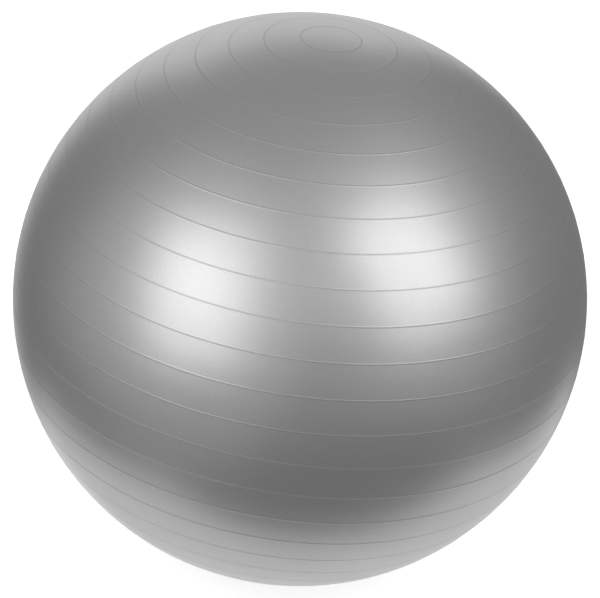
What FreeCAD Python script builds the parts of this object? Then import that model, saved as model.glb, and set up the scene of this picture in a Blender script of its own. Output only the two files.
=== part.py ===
"""Exercise ball: an inflated PVC skin with moulded grip rings, a welded-in valve seat and its plug.

Frame: millimetres, +Z up along the axis of the grip rings. The origin is the centre of the small
flat patch on which the ball's weight presses it against the floor. The valve faces +Y.
"""
import FreeCAD
import Part

import math
import os

# Driving dimensions, in millimetres and degrees.
BALL_DIAMETER = 650.0
WALL = 0.85
CONTACT_SAG = 1.0

RINGS_PER_HALF = 13
RING_PITCH_DEG = 6.75
RING_DRIFT_DEG = 0.7
RIDGE_WIDTH = 2.4
RIDGE_HEIGHT = 0.15

SEAT_BODY_RADIUS = 14.0
SEAT_FLANGE_RADIUS = 19.0
SEAT_FLANGE_DEPTH = 2.4
SEAT_FLANGE_EDGE = 0.8
NECK_RADIUS = 7.5
NECK_DEPTH = 16.0
NECK_END_CHAMFER = 0.8
NECK_ROOT_FILLET = 1.5
BORE_RADIUS = 4.5
RECESS_RADIUS = 10.3
RECESS_DEPTH = 1.9
RECESS_RIM_FILLET = 0.4
NAIL_NOTCH_RADIUS = 3.0
NAIL_NOTCH_OFFSET = 10.0
NAIL_NOTCH_DEPTH = 2.4

PLUG_HEAD_RADIUS = 10.0
PLUG_HEAD_CROWN_GAP = 0.15
PLUG_HEAD_UNDER_GAP = 0.1
PLUG_HEAD_EDGE = 0.5
PLUG_DIMPLE_RADIUS = 2.0
PLUG_DIMPLE_DEPTH = 0.5
STEM_CLEARANCE = 0.05
STEM_CORE_RADIUS = 3.8
STEM_LENGTH = 18.0
STEM_LEAD_LENGTH = 4.0
STEM_TIP_RADIUS = 2.4
RIB_COUNT = 4
RIB_PITCH = 3.0
RIB_FLAT = 0.8
RIB_SLOPE = 0.9
FIRST_RIB_DEPTH = 2.2

# Sizes that follow from them.
BALL_RADIUS = BALL_DIAMETER / 2
INNER_RADIUS = BALL_RADIUS - WALL
CENTRE_HEIGHT = BALL_RADIUS - CONTACT_SAG
CENTRE = FreeCAD.Vector(0, 0, CENTRE_HEIGHT)
UP = FreeCAD.Vector(0, 0, 1)
OUTWARD = FreeCAD.Vector(0, 1, 0)
RECESS_FLOOR = BALL_RADIUS - RECESS_DEPTH
SEAT_BACK = INNER_RADIUS - SEAT_FLANGE_DEPTH
NECK_END = BALL_RADIUS - NECK_DEPTH
STEM_RADIUS = BORE_RADIUS - STEM_CLEARANCE
FULL_TURN = 360
TOLERANCE = 1e-4


def ring_latitudes():
    """Latitudes of the rings. Their spacing is a little wider at the equator and the poles."""
    upper = []
    for k in range(RINGS_PER_HALF):
        even = (k + 0.5) * RING_PITCH_DEG
        drift = RING_DRIFT_DEG * math.sin(math.radians(4 * even))
        upper.append(even + drift)
    return [-latitude for latitude in reversed(upper)] + upper


def meridian_point(radius, latitude):
    """The point of a meridian at that distance from the ball's centre, in the XZ plane."""
    angle = math.radians(latitude)
    return CENTRE + FreeCAD.Vector(radius * math.cos(angle), 0, radius * math.sin(angle))


def arc(start, middle, end):
    return Part.Arc(start, middle, end).toShape()


def sphere_arc(radius, low, high):
    """The stretch of a meridian between two latitudes."""
    middle = meridian_point(radius, (low + high) / 2)
    return arc(meridian_point(radius, low), middle, meridian_point(radius, high))


def revolved(edges, base, axis):
    return Part.Face(Part.Wire(edges)).revolve(base, axis, FULL_TURN)


def ball_half_plane(radius, floor, ridged):
    """Half section of a ball that is flat on the floor, with or without a low ridge at each ring.

    Without ridges it has the same bands, so that the skin's two sides always mesh alike.
    """
    half_width = math.degrees(RIDGE_WIDTH / 2 / radius)
    latitude = -math.degrees(math.asin((CENTRE_HEIGHT - floor) / radius))
    patch_centre = FreeCAD.Vector(0, 0, floor)
    edges = [Part.LineSegment(patch_centre, meridian_point(radius, latitude)).toShape()]
    for ridge in ring_latitudes():
        foot, far_foot = ridge - half_width, ridge + half_width
        edges.append(sphere_arc(radius, latitude, foot))
        rise = RIDGE_HEIGHT if ridged else 0
        crest = meridian_point(radius + rise, ridge)
        edges.append(arc(meridian_point(radius, foot), crest, meridian_point(radius, far_foot)))
        latitude = far_foot
    top = meridian_point(radius, 90)
    edges.append(arc(meridian_point(radius, latitude), meridian_point(radius, (latitude + 90) / 2), top))
    edges.append(Part.LineSegment(top, patch_centre).toShape())
    return edges


def valve_cylinder(radius, inner_end, outer_end):
    """A cylinder on the valve's axis, between two distances from the ball's centre."""
    return Part.makeCylinder(radius, outer_end - inner_end, CENTRE + OUTWARD * inner_end, OUTWARD)


def make_ball_shell():
    """The inflated skin: one airtight PVC wall with a round hole where the valve seat is welded in."""
    outside = revolved(ball_half_plane(BALL_RADIUS, 0, True), CENTRE, UP)
    inside = revolved(ball_half_plane(INNER_RADIUS, WALL, False), CENTRE, UP)
    valve_hole = valve_cylinder(SEAT_BODY_RADIUS, SEAT_BACK, BALL_DIAMETER)
    return outside.cut(inside).cut(valve_hole)


def rounded(solid, circle_radius, distance, fillet):
    """The solid with a fillet on its circle of that radius, at that distance from the ball's centre."""
    circles = [edge for edge in solid.Edges if isinstance(edge.Curve, Part.Circle)]
    for edge in circles:
        right_size = abs(edge.Curve.Radius - circle_radius) < TOLERANCE
        if right_size and abs(edge.Curve.Center.y - distance) < TOLERANCE:
            return solid.makeFillet(fillet, [edge])
    raise ValueError("no edge of that radius there")


def make_valve_seat():
    """Soft PVC grommet: its body fills the hole, its flange laps the skin and its neck holds the plug."""
    flange = valve_cylinder(SEAT_FLANGE_RADIUS, SEAT_BACK, BALL_RADIUS)
    flange = flange.common(Part.makeSphere(INNER_RADIUS, CENTRE))
    body = valve_cylinder(SEAT_BODY_RADIUS, SEAT_BACK, BALL_DIAMETER)
    body = body.common(Part.makeSphere(BALL_RADIUS, CENTRE))
    neck = valve_cylinder(NECK_RADIUS, NECK_END + NECK_END_CHAMFER, SEAT_BACK)
    neck_end = Part.makeCone(
        NECK_RADIUS - NECK_END_CHAMFER, NECK_RADIUS, NECK_END_CHAMFER, CENTRE + OUTWARD * NECK_END, OUTWARD)
    recess = valve_cylinder(RECESS_RADIUS, RECESS_FLOOR, BALL_DIAMETER)
    bore = valve_cylinder(BORE_RADIUS, 0, BALL_DIAMETER)
    notch_base = CENTRE + OUTWARD * (BALL_RADIUS - NAIL_NOTCH_DEPTH) + UP * NAIL_NOTCH_OFFSET
    nail_notch = Part.makeCylinder(NAIL_NOTCH_RADIUS, BALL_RADIUS, notch_base, OUTWARD)
    seat = flange.fuse([body, neck, neck_end]).removeSplitter().cut([recess, bore])
    seat = rounded(seat, SEAT_FLANGE_RADIUS, SEAT_BACK, SEAT_FLANGE_EDGE)
    seat = rounded(seat, NECK_RADIUS, SEAT_BACK, NECK_ROOT_FILLET)
    seat = rounded(seat, RECESS_RADIUS, math.sqrt(BALL_RADIUS ** 2 - RECESS_RADIUS ** 2), RECESS_RIM_FILLET)
    return seat.cut(nail_notch)


def plug_point(radius, distance):
    """A point of the plug's half section: its radius, and its distance from the ball's centre."""
    return CENTRE + FreeCAD.Vector(radius, distance, 0)


def stem_outline(head_underside):
    """The stem's half section from the head inwards: sealing ribs on a core, then a tapered lead."""
    tip = head_underside - STEM_LENGTH
    outline = [plug_point(STEM_CORE_RADIUS, head_underside)]
    for k in range(RIB_COUNT):
        shoulder = head_underside - FIRST_RIB_DEPTH - k * RIB_PITCH
        outline.append(plug_point(STEM_CORE_RADIUS, shoulder))
        outline.append(plug_point(STEM_RADIUS, shoulder))
        outline.append(plug_point(STEM_RADIUS, shoulder - RIB_FLAT))
        outline.append(plug_point(STEM_CORE_RADIUS, shoulder - RIB_FLAT - RIB_SLOPE))
    outline.append(plug_point(STEM_CORE_RADIUS, tip + STEM_LEAD_LENGTH))
    outline.append(plug_point(STEM_TIP_RADIUS, tip))
    outline.append(plug_point(0, tip))
    return outline


def make_valve_plug():
    """Push-in stopper: a thin domed head that sits flush in the seat, on a stem with sealing ribs."""
    crown = BALL_RADIUS - PLUG_HEAD_CROWN_GAP
    head_underside = RECESS_FLOOR + PLUG_HEAD_UNDER_GAP
    stem_points = stem_outline(head_underside)
    stem_points.append(plug_point(0, RECESS_FLOOR + RECESS_DEPTH / 2))
    stem_points.append(plug_point(STEM_CORE_RADIUS, RECESS_FLOOR + RECESS_DEPTH / 2))
    stem_points.append(stem_points[0])
    stem = revolved([Part.makePolygon(stem_points)], CENTRE, OUTWARD)
    head = valve_cylinder(PLUG_HEAD_RADIUS, head_underside, BALL_DIAMETER)
    head = head.common(Part.makeSphere(crown, CENTRE))
    rim = [edge for edge in head.Edges if edge.BoundBox.YMin > head_underside + PLUG_HEAD_EDGE]
    head = head.makeFillet(PLUG_HEAD_EDGE, rim[:1])
    dimple = valve_cylinder(PLUG_DIMPLE_RADIUS, crown - PLUG_DIMPLE_DEPTH, BALL_DIAMETER)
    return head.fuse(stem).removeSplitter().cut(dimple)


def main():
    os.makedirs("parts", exist_ok=True)
    nodes = {
        "ball_shell": make_ball_shell(),
        "valve_seat": make_valve_seat(),
        "valve_plug": make_valve_plug(),
    }
    for name, shape in nodes.items():
        solid = shape.Solids[0]
        box = solid.BoundBox
        litres = solid.Volume / 1e6
        print(name, len(shape.Solids), "solid, valid", solid.isValid(), "litres", round(litres, 6))
        print("  box", [round(v, 2) for v in (box.XMin, box.XMax, box.YMin, box.YMax, box.ZMin, box.ZMax)])
        solid.exportStep("parts/" + name + ".step")


main()
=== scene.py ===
"""Looks for the exercise ball: satin silver pearl PVC with fine moulded rings, and its valve.

Metres and degrees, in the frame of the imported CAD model: +Z up along the rings' axis, +Y out through
the valve. Latitudes are those of a globe about the ball's centre.
"""
import math

import bpy
from mathutils import Matrix, Vector


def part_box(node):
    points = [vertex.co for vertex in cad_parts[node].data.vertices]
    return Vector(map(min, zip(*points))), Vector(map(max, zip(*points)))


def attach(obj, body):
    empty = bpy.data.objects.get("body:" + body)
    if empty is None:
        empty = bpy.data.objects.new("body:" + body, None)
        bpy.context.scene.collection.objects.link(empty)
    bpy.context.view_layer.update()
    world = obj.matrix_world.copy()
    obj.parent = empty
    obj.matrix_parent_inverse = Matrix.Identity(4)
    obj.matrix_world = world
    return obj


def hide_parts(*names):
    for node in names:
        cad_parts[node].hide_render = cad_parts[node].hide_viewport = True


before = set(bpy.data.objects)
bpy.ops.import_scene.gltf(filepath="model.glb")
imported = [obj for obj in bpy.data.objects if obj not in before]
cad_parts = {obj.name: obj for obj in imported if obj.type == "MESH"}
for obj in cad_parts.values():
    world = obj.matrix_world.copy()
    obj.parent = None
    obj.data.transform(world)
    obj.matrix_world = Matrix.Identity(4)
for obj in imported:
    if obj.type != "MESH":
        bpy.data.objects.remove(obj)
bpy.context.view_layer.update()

# The ball, from the frame.
SHELL_LOW, SHELL_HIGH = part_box("ball_shell")
BALL_RADIUS = round((SHELL_HIGH.x - SHELL_LOW.x) / 2, 3)
CENTRE = Vector((0, 0, round(SHELL_HIGH.z - BALL_RADIUS, 4)))
FLOOR_HEIGHT = SHELL_LOW.z

# The skin's details, as the CAD source has them.
WALL = 0.00085
RINGS_PER_HALF = 13
RING_PITCH = 6.75
RING_DRIFT = 0.7
RIDGE_HALF_WIDTH = 0.0012
RIDGE_HEIGHT = 0.00015
SEAT_HOLE_RADIUS = 0.014

# Two details that the CAD leaves out: how strongly the rings lean, and the bevel of the hole's lip.
RING_LEAN = 1.6
HOLE_BEVEL = 0.0003

# The mesh attribute that is 1 on the top of a ridge and 0 off it.
CREST = "crest"

# How finely the skin is meshed. The rows of a ridge are given in half widths from its middle, and a
# band is the plain skin between two ridges.
OUTER_COLUMNS = 256
INNER_COLUMNS = 96
RIDGE_STEPS = (-1.5, -1.0, -0.72, -0.46, -0.22, 0.0, 0.22, 0.46, 0.72, 1.0, 1.5)
BAND_STEPS = 4
NARROW_BAND = 2.0
NARROW_BAND_STEPS = 2
TOP_STEPS = 6
INNER_ROW_STEP = 4.0
SHARP_ANGLE = 30

# The block is the square patch of rows and columns that makes room for the valve's hole.
BLOCK_HALF_SIZE = 0.0172
BLOCK_LATITUDE = math.degrees(BLOCK_HALF_SIZE / BALL_RADIUS)
BLOCK_STEPS = 6
HOLE_CORNERS = 144

# Nearly all of a noise texture's values lie between these. Flakes use a narrower range, so that more
# of them are fully dark or fully bright.
NOISE_RANGE = (0.3, 0.7)
FLAKE_RANGE = (0.35, 0.65)

# The camera sees the ball from this elevation, rolled, from this many ball radii away.
CAMERA_ELEVATION = 28.55
CAMERA_ROLL = 6.8
CAMERA_DISTANCE = 10.14
BALL_WIDTH_IN_PICTURE = 0.9573
SENSOR_WIDTH = 36.0

# The studio: panels stand this far from the ball, in a grey room.
PANEL_DISTANCE = 2.5
STUDIO_BELOW = 0.14
STUDIO_ABOVE = 0.40

# The floor is a disc that curves up into a wall.
FLOOR_REACH = 8.0
COVE_RADIUS = 3.0
COVE_HEIGHT = 8.0
COVE_STEPS = 12
COVE_COLUMNS = 64


def add_object(name, data):
    new_object = bpy.data.objects.new(name, data)
    bpy.context.scene.collection.objects.link(new_object)
    return new_object


def placed(position, right, up, back):
    """The matrix that stands an object at a position, with its own X, Y and Z in these directions."""
    return Matrix.Translation(position) @ Matrix((right, up, back)).transposed().to_4x4()


# ---------------------------------------------------------------- the skin's shape

def ring_latitudes():
    """Latitudes of the rings. Their spacing is a little wider at the equator and the poles."""
    upper = []
    for k in range(RINGS_PER_HALF):
        even = (k + 0.5) * RING_PITCH
        upper.append(even + RING_DRIFT * math.sin(math.radians(4 * even)))
    return [-latitude for latitude in reversed(upper)] + upper


def ring_lean(latitude):
    """How far a row of the skin dips at +X and rises at -X.

    It is nothing at the poles and greatest at 30 degrees below the equator.
    """
    a = math.radians(latitude)
    return RING_LEAN * (1 - math.sin(a)) * math.cos(a)


def patch_latitude(radius, floor):
    """The latitude at which a sphere about the ball's centre meets the flat of the contact patch."""
    return -math.degrees(math.asin((CENTRE.z - floor) / radius))


def evenly(start, end, count):
    """The points strictly between start and end that divide it into count equal steps."""
    return [start + (end - start) * i / count for i in range(1, count)]


def outer_rows():
    """(latitude, radius, crest) of each row of the outer skin, from the contact patch to the top.

    Crest is 1 on the top of a ridge and 0 off it.
    """
    half_width = math.degrees(RIDGE_HALF_WIDTH / BALL_RADIUS)
    rows = [(patch_latitude(BALL_RADIUS, FLOOR_HEIGHT), BALL_RADIUS, 0)]
    for ring in ring_latitudes():
        below = rows[-1][0]
        foot = ring + RIDGE_STEPS[0] * half_width
        if below < 0 < foot:
            between = evenly(-BLOCK_LATITUDE, BLOCK_LATITUDE, BLOCK_STEPS)
            stops = [-BLOCK_LATITUDE] + between + [BLOCK_LATITUDE]
        else:
            steps = BAND_STEPS if foot - below > NARROW_BAND else NARROW_BAND_STEPS
            stops = evenly(below, foot, steps)
        rows += [(latitude, BALL_RADIUS, 0) for latitude in stops]
        for step in RIDGE_STEPS:
            crest = 0.5 + 0.5 * math.cos(math.pi * max(-1, min(1, step)))
            rows.append((ring + step * half_width, BALL_RADIUS + RIDGE_HEIGHT * crest, crest))
    last = rows[-1][0]
    rows += [(latitude, BALL_RADIUS, 0) for latitude in evenly(last, 90, TOP_STEPS)]
    return rows


def inner_rows():
    """The same for the inside of the skin, which has no ridges."""
    radius = BALL_RADIUS - WALL
    low = patch_latitude(radius, FLOOR_HEIGHT + WALL)
    steps_below = round((-BLOCK_LATITUDE - low) / INNER_ROW_STEP)
    steps_above = round((90 - BLOCK_LATITUDE) / INNER_ROW_STEP)
    latitudes = [low] + evenly(low, -BLOCK_LATITUDE, steps_below)
    latitudes += [-BLOCK_LATITUDE, 0, BLOCK_LATITUDE]
    latitudes += evenly(BLOCK_LATITUDE, 90, steps_above)
    return [(latitude, radius, 0) for latitude in latitudes]


def block_edge(grid, bottom, top, half):
    """The vertices round the block, from the +X side and going up.

    Bottom and top are its first and last rows, and half is how many columns it takes on each side.
    """
    columns = len(grid[0])
    middle = (bottom + top) // 2
    edge = [grid[i][half % columns] for i in range(middle, top)]
    edge += [grid[top][c % columns] for c in range(half, -half, -1)]
    edge += [grid[i][-half % columns] for i in range(top, bottom, -1)]
    edge += [grid[bottom][c % columns] for c in range(-half, half)]
    edge += [grid[i][half % columns] for i in range(bottom, middle)]
    return edge


class SkinMesh:
    """Collects the vertices and faces of the skin, one wall surface at a time."""

    def __init__(self):
        self.points = []
        self.crests = []
        self.faces = []

    def add(self, point, crest=0):
        self.points.append(point)
        self.crests.append(crest)
        return len(self.points) - 1

    def face(self, corners, outward):
        self.faces.append(tuple(corners) if outward else tuple(reversed(corners)))

    def row(self, latitude, radius, crest, lean, columns):
        """The vertices of one row, from +Y and turning towards +X."""
        vertices = []
        for c in range(columns):
            turn = 2 * math.pi * c / columns
            a = math.radians(latitude - lean * math.sin(turn))
            direction = Vector((math.sin(turn) * math.cos(a), math.cos(turn) * math.cos(a), math.sin(a)))
            vertices.append(self.add(CENTRE + radius * direction, crest))
        return vertices

    def wall(self, rows, columns, floor, hole_radius, outward):
        """A ball surface that is flat on the floor, with a round hole on the +Y side.

        Returns the hole's corners, starting from its +X side and going up.
        """
        grid = []
        for latitude, radius, crest in rows:
            # The inside and the edge of the contact patch stay level.
            lean = ring_lean(latitude) if outward and grid else 0
            grid.append(self.row(latitude, radius, crest, lean, columns))
        block_rows = [i for i, row in enumerate(rows) if abs(row[0]) <= BLOCK_LATITUDE]
        bottom, top = block_rows[0], block_rows[-1]
        half = max(1, round(columns * BLOCK_LATITUDE / 360))
        for i in range(len(rows) - 1):
            for c in range(columns):
                in_block = bottom <= i < top and (c < half or c >= columns - half)
                if not in_block:
                    d = (c + 1) % columns
                    self.face((grid[i][d], grid[i][c], grid[i + 1][c], grid[i + 1][d]), outward)
        pole = self.add(CENTRE + Vector((0, 0, rows[-1][1])))
        base = self.add(Vector((0, 0, floor)))
        for c in range(columns):
            d = (c + 1) % columns
            self.face((grid[-1][d], grid[-1][c], pole), outward)
            self.face((grid[0][c], grid[0][d], base), outward)
        return self.hole(block_edge(grid, bottom, top, half), hole_radius, rows[bottom][1], outward)

    def circle(self, radius, ball_radius):
        """A circle round the valve's axis, on a sphere about the ball's centre."""
        depth = math.sqrt(ball_radius ** 2 - radius ** 2)
        corners = []
        for k in range(HOLE_CORNERS):
            turn = 2 * math.pi * k / HOLE_CORNERS
            corners.append(self.add(CENTRE + Vector((
                radius * math.cos(turn), depth, radius * math.sin(turn)))))
        return corners

    def hole(self, edge, radius, ball_radius, outward):
        """Fills the space between the block's edge and a circle with triangles.

        Each side of the edge takes the circle's corners that lie between its two ends. The edge's
        first vertex is level with the valve's axis, but the lean can put it just under, which
        would count as a whole turn, so its place is set to 0 instead of worked out.
        """
        circle = self.circle(radius, ball_radius)
        starts = [0] + [round(self.turn_of(v) * HOLE_CORNERS) for v in edge[1:]] + [HOLE_CORNERS]
        for e, here in enumerate(edge):
            there = edge[(e + 1) % len(edge)]
            first, last = starts[e], starts[e + 1]
            middle = (first + last) // 2
            for k in range(first, last):
                corner, following = circle[k % HOLE_CORNERS], circle[(k + 1) % HOLE_CORNERS]
                if k == middle:
                    self.face((here, corner, there), outward)
                apex = here if k < middle else there
                self.face((apex, corner, following), outward)
            if middle == last:
                self.face((here, circle[last % HOLE_CORNERS], there), outward)
        return circle

    def turn_of(self, vertex):
        """How far round the valve's axis a vertex is, from +X and going up, as a share of a turn."""
        offset = self.points[vertex] - CENTRE
        return (math.atan2(offset.z, offset.x) / (2 * math.pi)) % 1.0

    def join(self, ring_a, ring_b, outward):
        """A band of faces between two circles of the valve's hole."""
        for k in range(HOLE_CORNERS):
            m = (k + 1) % HOLE_CORNERS
            self.face((ring_a[k], ring_b[k], ring_b[m], ring_a[m]), outward)


def make_skin():
    """The whole inflated skin as one closed mesh, its ridges and its inside included."""
    skin = SkinMesh()
    outer = skin.wall(outer_rows(), OUTER_COLUMNS, FLOOR_HEIGHT, SEAT_HOLE_RADIUS + HOLE_BEVEL, True)
    inner = skin.wall(inner_rows(), INNER_COLUMNS, FLOOR_HEIGHT + WALL, SEAT_HOLE_RADIUS, False)
    lip = skin.circle(SEAT_HOLE_RADIUS, BALL_RADIUS - HOLE_BEVEL)
    skin.join(lip, outer, False)
    skin.join(inner, lip, False)
    mesh = bpy.data.meshes.new("inflated_skin")
    mesh.from_pydata([tuple(p) for p in skin.points], [], skin.faces)
    crest = mesh.attributes.new(CREST, "FLOAT", "POINT")
    crest.data.foreach_set("value", skin.crests)
    mesh.shade_smooth()
    mesh.set_sharp_from_angle(angle=math.radians(SHARP_ANGLE))
    return add_object("inflated_skin", mesh)


# ---------------------------------------------------------------- materials

class Nodes:
    """A short way to write a node material."""

    def __init__(self, name):
        self.material = bpy.data.materials.new(name)
        self.material.use_nodes = True
        self.tree = self.material.node_tree
        self.tree.nodes.clear()
        self.output = self.add("ShaderNodeOutputMaterial")
        self.shader = self.add("ShaderNodeBsdfPrincipled")
        self.link(self.shader.outputs[0], self.output.inputs["Surface"])
        self.place = self.add("ShaderNodeTexCoord").outputs["Object"]

    def add(self, kind, **settings):
        node = self.tree.nodes.new(kind)
        for key, value in settings.items():
            setattr(node, key, value)
        return node

    def link(self, source, target):
        self.tree.links.new(source, target)

    def set(self, name, value):
        """Gives the shader a value that is the same all over the surface."""
        self.shader.inputs[name].default_value = value

    def vary(self, name, source):
        """Gives the shader a value that changes over the surface."""
        self.link(source, self.shader.inputs[name])

    def noise(self, scale, detail=2.0, roughness=0.5):
        node = self.add("ShaderNodeTexNoise")
        self.link(self.place, node.inputs["Vector"])
        node.inputs["Scale"].default_value = scale
        node.inputs["Detail"].default_value = detail
        node.inputs["Roughness"].default_value = roughness
        return node.outputs["Fac"]

    def ranged(self, source, before, after):
        """Stretches the values between one low and high pair to another such pair."""
        node = self.add("ShaderNodeMapRange")
        self.link(source, node.inputs["Value"])
        node.inputs["From Min"].default_value, node.inputs["From Max"].default_value = before
        node.inputs["To Min"].default_value, node.inputs["To Max"].default_value = after
        return node.outputs["Result"]

    def mixed(self, factor, low, high):
        """Goes from one colour to another. Low is a colour or a socket."""
        node = self.add("ShaderNodeMix", data_type="RGBA")
        self.link(factor, node.inputs["Factor"])
        if isinstance(low, tuple):
            node.inputs["A"].default_value = low
        else:
            self.link(low, node.inputs["A"])
        node.inputs["B"].default_value = high
        return node.outputs["Result"]

    def added(self, first, second):
        node = self.add("ShaderNodeMath", operation="ADD")
        self.link(first, node.inputs[0])
        self.link(second, node.inputs[1])
        return node.outputs[0]

    def bump(self, source, distance, strength):
        node = self.add("ShaderNodeBump")
        self.link(source, node.inputs["Height"])
        node.inputs["Distance"].default_value = distance
        node.inputs["Strength"].default_value = strength
        return node.outputs["Normal"]


def grey(value):
    return (value, value, value, 1.0)


def pearl_pvc():
    """Silver pearl PVC: fine metal flakes in a satin skin, duller on the ridges and darker there by
    painted shade.
    """
    m = Nodes("silver_pearl_pvc")
    crest = m.add("ShaderNodeAttribute", attribute_name=CREST).outputs["Fac"]
    flakes = m.ranged(m.noise(scale=1300.0, detail=1.0), FLAKE_RANGE, (0, 1))
    pearl = m.mixed(flakes, low=grey(0.47), high=grey(0.53))
    # Painted shade: the ridges' colour is darkened towards grey 0.44, standing in for the dark lines
    # that the ridges' shading shows.
    m.vary("Base Color", m.mixed(crest, low=pearl, high=grey(0.44)))
    m.set("Metallic", 0.9)
    satin = m.ranged(m.noise(scale=9.0, detail=3.0), NOISE_RANGE, (0.38, 0.42))
    rubbed = m.ranged(crest, (0, 0.5), (0, 0.08))
    m.vary("Roughness", m.added(satin, rubbed))
    m.vary("Normal", m.bump(m.noise(scale=1100.0), distance=0.0003, strength=0.08))
    return m.material


def seat_pvc():
    """Soft grey PVC, a little darker than the skin and without its flakes."""
    m = Nodes("soft_grey_pvc")
    m.vary("Base Color", m.mixed(m.noise(scale=300.0), low=grey(0.37), high=grey(0.43)))
    m.set("Metallic", 0.6)
    m.vary("Roughness", m.ranged(m.noise(scale=120.0), NOISE_RANGE, (0.42, 0.52)))
    m.vary("Normal", m.bump(m.noise(scale=900.0), distance=0.0002, strength=0.2))
    return m.material


def plug_plastic():
    """White soft plastic, semi-matte."""
    m = Nodes("white_soft_plastic")
    m.vary("Base Color", m.mixed(m.noise(scale=200.0), low=grey(0.74), high=grey(0.80)))
    m.vary("Roughness", m.ranged(m.noise(scale=150.0), NOISE_RANGE, (0.36, 0.48)))
    m.set("Subsurface Weight", 0.1)
    m.set("Subsurface Scale", 0.001)
    m.vary("Normal", m.bump(m.noise(scale=1200.0), distance=0.0001, strength=0.2))
    return m.material


def pale_floor():
    """Matte and near white, with a glow that brings it up to a white page."""
    m = Nodes("pale_floor")
    m.set("Base Color", grey(0.85))
    m.set("Roughness", 0.9)
    m.set("Emission Color", grey(1.0))
    m.set("Emission Strength", 0.64)
    return m.material


def dress(piece, material):
    piece.data.materials.clear()
    piece.data.materials.append(material)


# ---------------------------------------------------------------- floor, lights and camera

def camera_axes():
    """The camera's right, up and backward directions."""
    a = math.radians(CAMERA_ELEVATION)
    back = Vector((0, -math.cos(a), math.sin(a)))
    level_right = Vector((1, 0, 0))
    level_up = back.cross(level_right)
    r = math.radians(CAMERA_ROLL)
    right = level_right * math.cos(r) + level_up * math.sin(r)
    return right, back.cross(right), back


def make_camera():
    right, up, back = camera_axes()
    data = bpy.data.cameras.new("camera")
    data.sensor_width = SENSOR_WIDTH
    half_angle = math.asin(1 / CAMERA_DISTANCE)
    data.lens = SENSOR_WIDTH * BALL_WIDTH_IN_PICTURE / 2 / math.tan(half_angle)
    camera = add_object("camera", data)
    camera.matrix_world = placed(CENTRE + back * CAMERA_DISTANCE * BALL_RADIUS, right, up, back)
    bpy.context.scene.camera = camera


def light_panel(name, yaw, pitch, roll, width, height, radiance):
    """A soft rectangular panel that faces the ball.

    Yaw and pitch are where it stands as seen from the ball: yaw 0 is towards the camera and grows
    to the camera's right, and pitch grows upwards. Roll turns the panel in its own plane.
    """
    right, up, back = camera_axes()
    turn, rise, tilt = math.radians(yaw), math.radians(pitch), math.radians(roll)
    away = math.cos(rise) * (math.sin(turn) * right + math.cos(turn) * back) + math.sin(rise) * up
    side = up.cross(away).normalized()
    top = away.cross(side)
    across = side * math.cos(tilt) + top * math.sin(tilt)
    data = bpy.data.lights.new(name, "AREA")
    data.shape = "RECTANGLE"
    data.size = width
    data.size_y = height
    data.energy = radiance * math.pi * width * height
    lamp = add_object(name, data)
    lamp.visible_camera = False
    lamp.matrix_world = placed(CENTRE + away * PANEL_DISTANCE, across, away.cross(across), away)


def make_world():
    """A grey studio, lighter above than below."""
    world = bpy.data.worlds.new("studio")
    world.use_nodes = True
    nodes, links = world.node_tree.nodes, world.node_tree.links
    place = nodes.new("ShaderNodeTexCoord")
    height = nodes.new("ShaderNodeSeparateXYZ")
    shade = nodes.new("ShaderNodeMapRange")
    links.new(place.outputs["Generated"], height.inputs[0])
    links.new(height.outputs["Z"], shade.inputs["Value"])
    shade.inputs["From Min"].default_value = -1
    shade.inputs["From Max"].default_value = 1
    shade.inputs["To Min"].default_value = STUDIO_BELOW
    shade.inputs["To Max"].default_value = STUDIO_ABOVE
    links.new(shade.outputs["Result"], nodes["Background"].inputs["Color"])
    bpy.context.scene.world = world


def make_lights():
    """Two key lights, a broad soft spill round each, and two panels behind and below the ball."""
    light_panel("key_left", yaw=-37, pitch=3, roll=-7, width=1.65, height=2.1, radiance=1.97)
    light_panel("key_right", yaw=42, pitch=12, roll=27, width=1.65, height=2.2, radiance=1.84)
    light_panel("spill_left", yaw=-45, pitch=-3, roll=41, width=6.0, height=6.0, radiance=0.23)
    light_panel("spill_right", yaw=46, pitch=11, roll=14, width=4.0, height=6.0, radiance=0.18)
    light_panel("backdrop", yaw=188, pitch=23, roll=-1, width=2.6, height=4.6, radiance=0.76)
    light_panel("light_table", yaw=181, pitch=-46, roll=-6, width=5.3, height=3.2, radiance=0.83)
    make_world()
    bpy.context.scene.view_settings.view_transform = "Standard"


def cove_profile():
    """(distance from the middle, height) of the floor and the wall that it curves up into."""
    profile = []
    for step in range(COVE_STEPS + 1):
        a = math.pi / 2 * step / COVE_STEPS
        profile.append((FLOOR_REACH + COVE_RADIUS * math.sin(a), COVE_RADIUS * (1 - math.cos(a))))
    return profile + [(FLOOR_REACH + COVE_RADIUS, COVE_HEIGHT)]


def cove_mesh():
    """The floor and its wall: the profile turned about the ball's upright axis."""
    points = [(0, 0, FLOOR_HEIGHT)]
    for distance, height in cove_profile():
        for c in range(COVE_COLUMNS):
            turn = 2 * math.pi * c / COVE_COLUMNS
            points.append((distance * math.cos(turn), distance * math.sin(turn), FLOOR_HEIGHT + height))
    faces = []
    for c in range(COVE_COLUMNS):
        d = (c + 1) % COVE_COLUMNS
        faces.append((0, 1 + c, 1 + d))
        for i in range(COVE_STEPS + 1):
            low, high = 1 + i * COVE_COLUMNS, 1 + (i + 1) * COVE_COLUMNS
            faces.append((low + c, high + c, high + d, low + d))
    mesh = bpy.data.meshes.new("floor")
    mesh.from_pydata(points, [], faces)
    mesh.shade_smooth()
    return mesh


def make_floor():
    """A round studio cove, seen by the camera only: it neither lights nor shades the ball."""
    floor = add_object("floor", cove_mesh())
    dress(floor, pale_floor())
    floor.visible_diffuse = False
    floor.visible_glossy = False
    floor.visible_shadow = False


def main():
    skin = make_skin()
    dress(skin, pearl_pvc())
    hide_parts("ball_shell")
    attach(skin, "ball")
    dress(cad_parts["valve_seat"], seat_pvc())
    dress(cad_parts["valve_plug"], plug_plastic())
    make_floor()
    make_lights()
    make_camera()


main()
